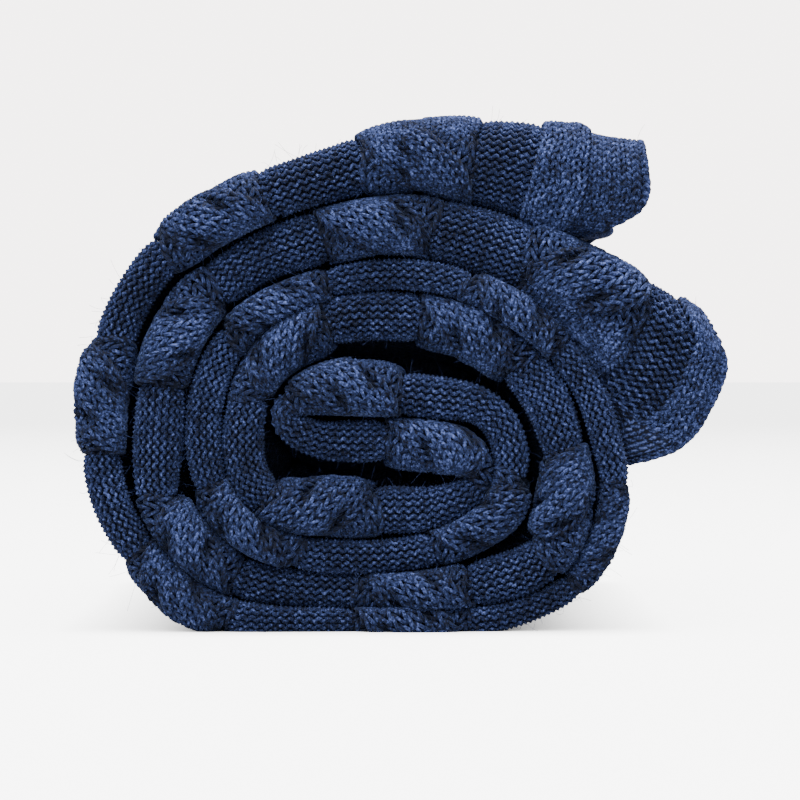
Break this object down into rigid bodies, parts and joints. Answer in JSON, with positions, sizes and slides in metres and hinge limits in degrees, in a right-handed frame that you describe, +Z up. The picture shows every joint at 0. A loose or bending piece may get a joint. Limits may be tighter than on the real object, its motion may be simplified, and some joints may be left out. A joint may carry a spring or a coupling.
{
  "type": "cable knit blanket",
  "caption": "Knitted throw with raised cable bands, folded lengthwise and rolled up, resting on its side with two loose ends open at one side.",
  "frame": {"origin": "middle of the base of the whole roll's box, on the surface that it rests on", "axes": "+Z up, +Y along the roll from its long rounded front fold to its hems, +X towards the two loose ends"},
  "size_m": [0.1936, 0.3246, 0.1559],
  "materials": {
    "navy_yarn": "matte knitted yarn, slightly fuzzy, brighter on the raised cables"
  },
  "bodies": {
    "root": {"blanket": "navy_yarn"}
  },
  "joints": []
}
